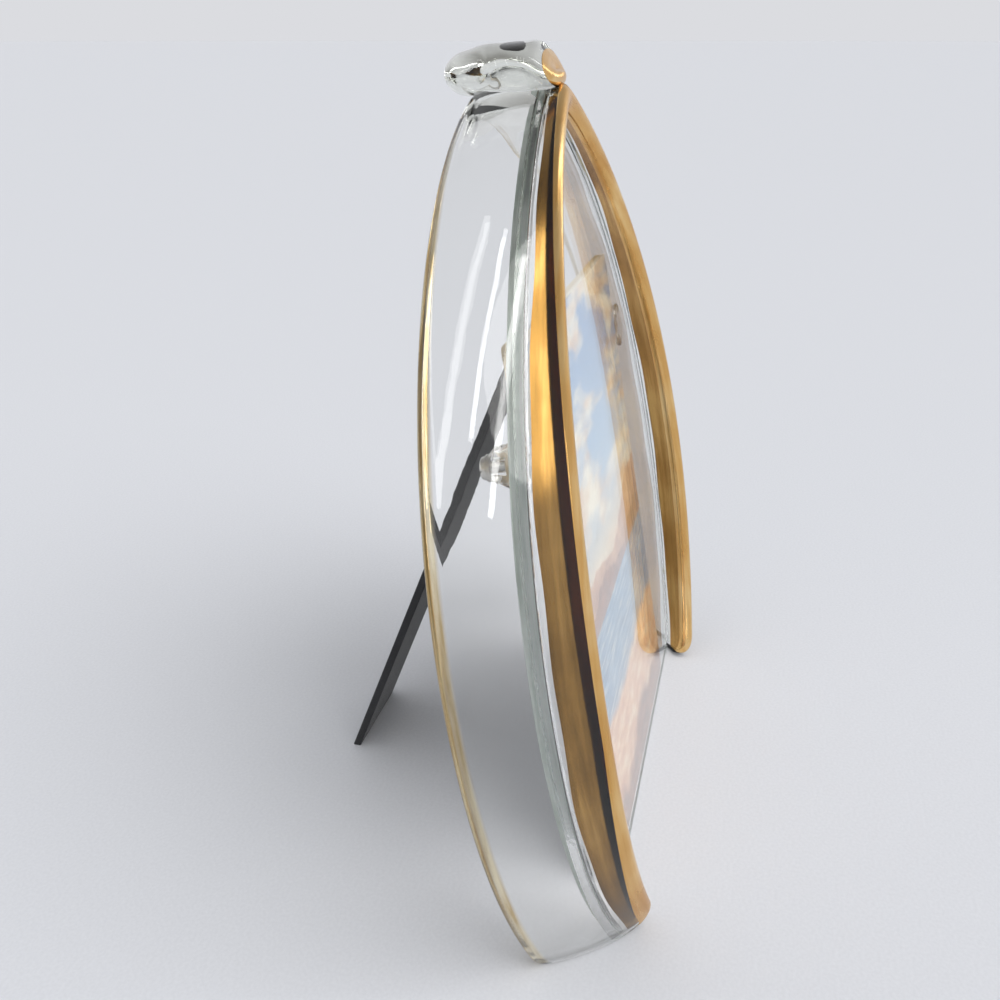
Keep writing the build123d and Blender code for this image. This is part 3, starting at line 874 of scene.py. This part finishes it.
def print_material():
    """Generic printed landscape: summer sky, far hills, still water and a sandy shore."""
    material, tree, shader, place = new_material("printed_landscape")
    low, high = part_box("photo_print")
    axes = node(tree, "SeparateXYZ", {"Vector": place})
    across = grade(tree, axes.outputs["X"], 0.0, print_width / print_height, low.x, high.x)
    upward = grade(tree, axes.outputs["Z"], 0.0, 1.0, low.z, high.z)
    flat = node(tree, "CombineXYZ", {"X": across, "Y": upward}).outputs[0]
    wide = node(tree, "Mapping", {"Vector": flat, "Scale": (1.0, 2.6, 1.0)}).outputs[0]

    sky = ramp(
        tree,
        upward,
        [
            (0.50, colour(232, 216, 184)),
            (0.64, colour(156, 190, 216)),
            (1.00, colour(84, 136, 188)),
        ],
    )
    puffs = noise(tree, 3.4, 7.0, wide, Roughness=0.55, Distortion=0.35)
    cloud_tone = ramp(
        tree,
        noise(tree, 9.0, 4.0, wide),
        [(0.35, colour(226, 190, 154)), (0.58, colour(252, 244, 220))],
    )
    cloud = grade(tree, puffs, 0.0, 1.0, 0.45, 0.56)
    picture = mixed(tree, cloud, sky, cloud_tone)

    def land(picture, level, swing, scale, shade, softness=0.006):
        """Paint everything under a wandering line."""
        line = noise(tree, scale, 5.0, node(tree, "CombineXYZ", {"X": across, "Y": level}).outputs[0])
        edge = grade(tree, line, level - swing, level + swing, 0.3, 0.7)
        under = math_node(tree, "SUBTRACT", edge, upward)
        return mixed(tree, grade(tree, under, 0.0, 1.0, 0.0, softness), picture, shade)

    ridge = noise(tree, 24.0, 5.0, flat)
    far_hills = ramp(tree, ridge, [(0.3, colour(176, 124, 92)), (0.7, colour(222, 178, 138))])
    near_hills = ramp(tree, ridge, [(0.3, colour(112, 70, 48)), (0.7, colour(172, 116, 80))])
    picture = land(picture, 0.53, 0.050, 3.0, far_hills)
    picture = land(picture, 0.47, 0.035, 5.0, near_hills)
    glint = node(tree, "Mapping", {"Vector": flat, "Scale": (2.0, 26.0, 1.0)}).outputs[0]
    water = ramp(
        tree,
        noise(tree, 5.0, 5.0, glint),
        [(0.34, colour(70, 112, 150)), (0.52, colour(120, 160, 190)), (0.70, colour(232, 230, 214))],
    )
    picture = land(picture, 0.425, 0.002, 4.0, water, 0.003)
    ripple = noise(tree, 16.0, 6.0, wide)
    sand = ramp(
        tree,
        ripple,
        [(0.30, colour(196, 132, 94)), (0.50, colour(228, 178, 136)), (0.68, colour(250, 230, 196))],
    )
    earth = ramp(tree, ripple, [(0.32, colour(92, 58, 42)), (0.66, colour(158, 104, 76))])
    picture = land(picture, 0.250, 0.060, 2.2, sand, 0.02)
    picture = land(picture, 0.095, 0.055, 3.6, earth, 0.03)
    grain = noise(tree, 4200.0, 1.0, place)
    picture = mixed(tree, 0.10, picture, ramp(tree, grain, [(0.4, (0, 0, 0, 1)), (0.6, (1, 1, 1, 1))]))
    links = {
        "Base Color": picture,
        "Roughness": grade(tree, grain, 0.28, 0.36),
        "Normal": bump(tree, grain, 0.004),
    }
    set_shader(tree, shader, links)
    return material


def fibre_material(name, dark, light, size, height, rough, sheen):
    """Card, paper or flock: fibres, mottling and a slight nap."""
    material, tree, shader, place = new_material(name)
    fibres = noise(tree, 1 / (size * mm), 5.0, place, Distortion=0.6)
    mottle = noise(tree, 70.0, 3.0, place)
    tone = math_node(tree, "MULTIPLY_ADD", fibres, 0.6, math_node(tree, "MULTIPLY", mottle, 0.4))
    links = {
        "Base Color": ramp(tree, tone, [(0.32, dark), (0.68, light)]),
        "Roughness": grade(tree, fibres, rough, min(1.0, rough + 0.15)),
        "Normal": bump(tree, fibres, height),
    }
    set_shader(tree, shader, links, Sheen_Weight=sheen)
    return material


def board_material():
    """Fibreboard covered in black paper, with its cut edges left raw."""
    material = fibre_material("covered_board", *black_tones, size=0.35, height=0.12, rough=0.8, sheen=0.25)
    tree = material.node_tree
    shader = tree.nodes["Principled BSDF"]
    place = node(tree, "TexCoord").outputs["Object"]
    pulp = noise(tree, 1600.0, 3.0, place)
    raw = ramp(tree, pulp, [(0.3, colour(176, 156, 118)), (0.7, colour(224, 208, 172))])
    cover = shader.inputs["Base Color"].links[0].from_socket
    tree.links.new(mixed(tree, sheet_edge(tree), cover, raw), shader.inputs["Base Color"])
    return material


def metal_material(name, dark, light, rough, polish, metallic):
    """Plated or blacked metal with fine scratches and handling marks."""
    material, tree, shader, place = new_material(name)
    stretched = node(tree, "Mapping", {"Vector": place, "Scale": (0.15, 1.0, 1.0)}).outputs[0]
    scratches = noise(tree, 2600.0, 4.0, stretched)
    marks = noise(tree, 240.0, 4.0, place)
    links = {
        "Base Color": ramp(tree, marks, [(0.35, dark), (0.65, light)]),
        "Roughness": grade(tree, marks, rough, polish, 0.3, 0.7),
        "Normal": bump(tree, scratches, 0.006),
    }
    set_shader(tree, shader, links, Metallic=metallic)
    return material


glass_tint = (0.84, 0.86, 0.78, 1)
sheet_tint = (0.82, 0.87, 0.83, 1)
black_tones = (colour(16, 17, 19), colour(40, 41, 44))
card_tones = (colour(214, 206, 184), colour(240, 234, 216))
nickel_tones = (colour(176, 174, 168), colour(214, 212, 206))
steel_tones = (colour(26, 26, 28), colour(58, 58, 60))
# one gold in three tones: painted shade on the band and the underside, a painted highlight on the edge
band_shaded_tones = (colour(146, 104, 50), colour(178, 134, 72), colour(206, 166, 100))
edge_lit_tones = (colour(208, 156, 88), colour(226, 180, 112), colour(242, 206, 146))
under_shaded_tones = (colour(118, 86, 38), colour(154, 116, 58), colour(190, 150, 86))
materials = {
    # painted golden reflection of the gilt band, streaked along the rear rim
    "arch": glass_with_painted_sheen(
        glass_material("clear_bent_glass", wave_size=22.0, wave_height=0.22, tint=glass_tint, density=22.0),
        rear_rim,
        dark=colour(198, 160, 88),
        light=colour(250, 232, 186),
        rough=0.02,
        bright=0.34,
    ),
    # ground edge, roughened as the real one is, under a pale mirror skin that is a painted highlight
    "panel": glass_with_painted_sheen(
        glass_material("clear_sheet_glass", wave_size=60.0, wave_height=0.05, tint=sheet_tint, density=10.0),
        sheet_edge,
        dark=colour(196, 210, 200),
        light=colour(236, 244, 238),
        rough=0.35,
        bright=0.55,
    ),
    "bond": glass_material("clear_bond", wave_size=3.0, wave_height=0.05, tint=glass_tint, density=4.0),
    "stud": glass_material(
        "clear_turned_glass", wave_size=6.0, wave_height=0.03, tint=glass_tint, density=12.0
    ),
    # the same gold, darkened as painted shade or lightened as a painted highlight
    "gilt": gilt_material("fired_gold_painted_shade", *band_shaded_tones, rough=0.16),
    "gilt_edge_lit": gilt_material("gold_edge_painted_highlight", *edge_lit_tones, rough=0.22),
    "gilt_under_shaded": gilt_material("gold_under_glass_painted_shade", *under_shaded_tones, rough=0.13),
    "print": print_material(),
    "card": fibre_material("cream_card", *card_tones, size=0.5, height=0.04, rough=0.75, sheen=0.0),
    "flock": fibre_material("black_flock", *black_tones, size=0.35, height=0.12, rough=0.8, sheen=0.25),
    "board": board_material(),
    "nickel": metal_material("bright_nickel", *nickel_tones, rough=0.26, polish=0.12, metallic=1.0),
    "steel": metal_material("blacked_steel", *steel_tones, rough=0.5, polish=0.34, metallic=0.85),
}

glass = united("arch_glass_union", build_arch(), build_crown())
gilt = gilt_from(glass, "gilded_rim")
for finish in gilt_lit_and_shaded:
    gilt.data.materials.append(materials[finish])
glass.name = "bent_glass_arch"
for face in glass.data.polygons:
    face.material_index = 0
panel = build_panel()
bead = build_bead()
panel.visible_shadow = False      # clear sheet, so the sun reaches the print through it
studs = {hand: build_stud("glass_stud_" + hand, side) for hand, side in (("left", -1), ("right", 1))}

made = [
    (glass, "arch", "clear_glass", ["glass_arch"]),
    (gilt, "gilt", "gilding", ["gilt_rim"]),
    (panel, "panel", "clear_glass", ["front_panel"]),
    (bead, "bond", "clear_glass", []),
    (studs["left"], "stud", "clear_glass", ["stud_left"]),
    (studs["right"], "stud", "clear_glass", ["stud_right"]),
]
for piece, finish, slot, nodes in made:
    if piece is not gilt:
        piece.data.materials.clear()
        piece.data.materials.append(materials[finish])
    smooth(piece)
    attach(piece, "frame")
    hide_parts(*nodes)

node_finishes = {
    "print": ("photo_print",),
    "card": ("backing_card",),
    "board": ("easel_board",),
    "flock": ("easel_leg",),
    "steel": ("hinge_board_leaf", "hinge_leg_leaf", "hinge_pin"),
    "nickel": ("board_rivets", "leg_rivets")
    + tuple(
        f"{kind}_{hand}"
        for kind in ("turn_button", "button_washer", "button_screw")
        for hand in ("left", "right")
    ),
}
for finish, names in node_finishes.items():
    for name in names:
        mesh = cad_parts[name].data
        mesh.materials.clear()
        mesh.materials.append(materials[finish])

# Stage


def build_floor():
    """Wide pale floor, which fades into the background far from the frame."""
    material, tree, shader, place = new_material("pale_floor")
    grain = noise(tree, 900.0, 2.0, place)
    shade = ramp(tree, grain, [(0.3, colour(213, 214, 218)), (0.7, colour(218, 219, 223))])
    set_shader(tree, shader, {"Base Color": shade}, Roughness=0.7, Specular_IOR_Level=0.1)
    around = round_turns(floor_steps_round)
    circle = np.stack([np.cos(around), np.sin(around), np.zeros(len(around))], -1)
    rings = [radius * circle for radius in floor_radii]
    faces = ring_faces(len(rings), len(around))[:-1]    # without a cap over the widest ring
    floor = mesh_object("floor", np.concatenate(rings), faces)
    floor.data.materials.append(material)


def build_world():
    """Pale surroundings that darken overhead, as in a tent with an open top."""
    world = bpy.data.worlds.new("studio")
    bpy.context.scene.world = world
    world.use_nodes = True
    tree = world.node_tree
    tree.nodes.clear()
    path = node(tree, "LightPath").outputs
    seen = math_node(tree, "MAXIMUM", path["Is Camera Ray"], path["Is Glossy Ray"])
    seen = math_node(tree, "MAXIMUM", seen, path["Is Transmission Ray"])
    ahead = node(tree, "TexCoord").outputs["Generated"]
    height = node(tree, "SeparateXYZ", {"Vector": ahead}).outputs["Z"]
    shade = ramp(tree, height, [(0.35, colour(219, 220, 224)), (0.95, colour(142, 141, 140))])
    lit = node(tree, "Background", {"Color": colour(235, 237, 240), "Strength": 0.75})
    shown = node(tree, "Background", {"Color": shade, "Strength": 1.0})
    joined = node(tree, "MixShader", {0: seen, 1: lit.outputs[0], 2: shown.outputs[0]})
    output = tree.nodes.new("ShaderNodeOutputWorld")
    tree.links.new(joined.outputs[0], output.inputs["Surface"])


def build_sun():
    """Even soft light from above the camera, which glass and metal don't mirror."""
    lamp = bpy.data.lights.new("sun", "SUN")
    lamp.energy = sun_energy
    lamp.angle = sun_width
    made = bpy.data.objects.new("sun", lamp)
    made.rotation_euler = Vector(sun_heading).to_track_quat("-Z", "Y").to_euler()
    made.visible_glossy = False
    bpy.context.scene.collection.objects.link(made)


def build_strip(name, start, end, width, power):
    """Long narrow soft lamp from one place to another, turned towards the frame."""
    start, end = Vector(start), Vector(end)
    lamp = bpy.data.lights.new(name, "AREA")
    lamp.shape = "RECTANGLE"
    lamp.size, lamp.size_y = width, (end - start).length
    lamp.energy = power
    made = bpy.data.objects.new(name, lamp)
    along = (end - start).normalized()
    middle = (start + end) / 2
    back = (middle - Vector((0, 0, arch_height * mm / 2))).normalized()
    across = along.cross(back).normalized()
    turned = Matrix((across, along, across.cross(along))).transposed()
    made.matrix_world = Matrix.Translation(middle) @ turned.to_4x4()
    made.visible_diffuse = False
    bpy.context.scene.collection.objects.link(made)


def build_camera():
    """Camera at the photo's place, turn and pitch."""
    camera = bpy.data.cameras.new("camera")
    camera.lens = camera_lens
    camera.sensor_width = sensor_width
    made = bpy.data.objects.new("camera", camera)
    across, forward, height = camera_place
    made.location = Vector((across, rim_foot + forward, height)) * mm
    ahead = Vector(
        (
            math.cos(camera_turn) * math.cos(camera_pitch),
            math.sin(camera_turn) * math.cos(camera_pitch),
            -math.sin(camera_pitch),
        )
    )
    made.rotation_euler = ahead.to_track_quat("-Z", "Y").to_euler()
    camera.clip_start = camera_near
    bpy.context.scene.collection.objects.link(made)
    bpy.context.scene.camera = made


build_floor()
build_world()
build_sun()
for name, values in strips.items():
    build_strip(name, *values)
build_camera()

scene = bpy.context.scene
scene.view_settings.view_transform = "Standard"
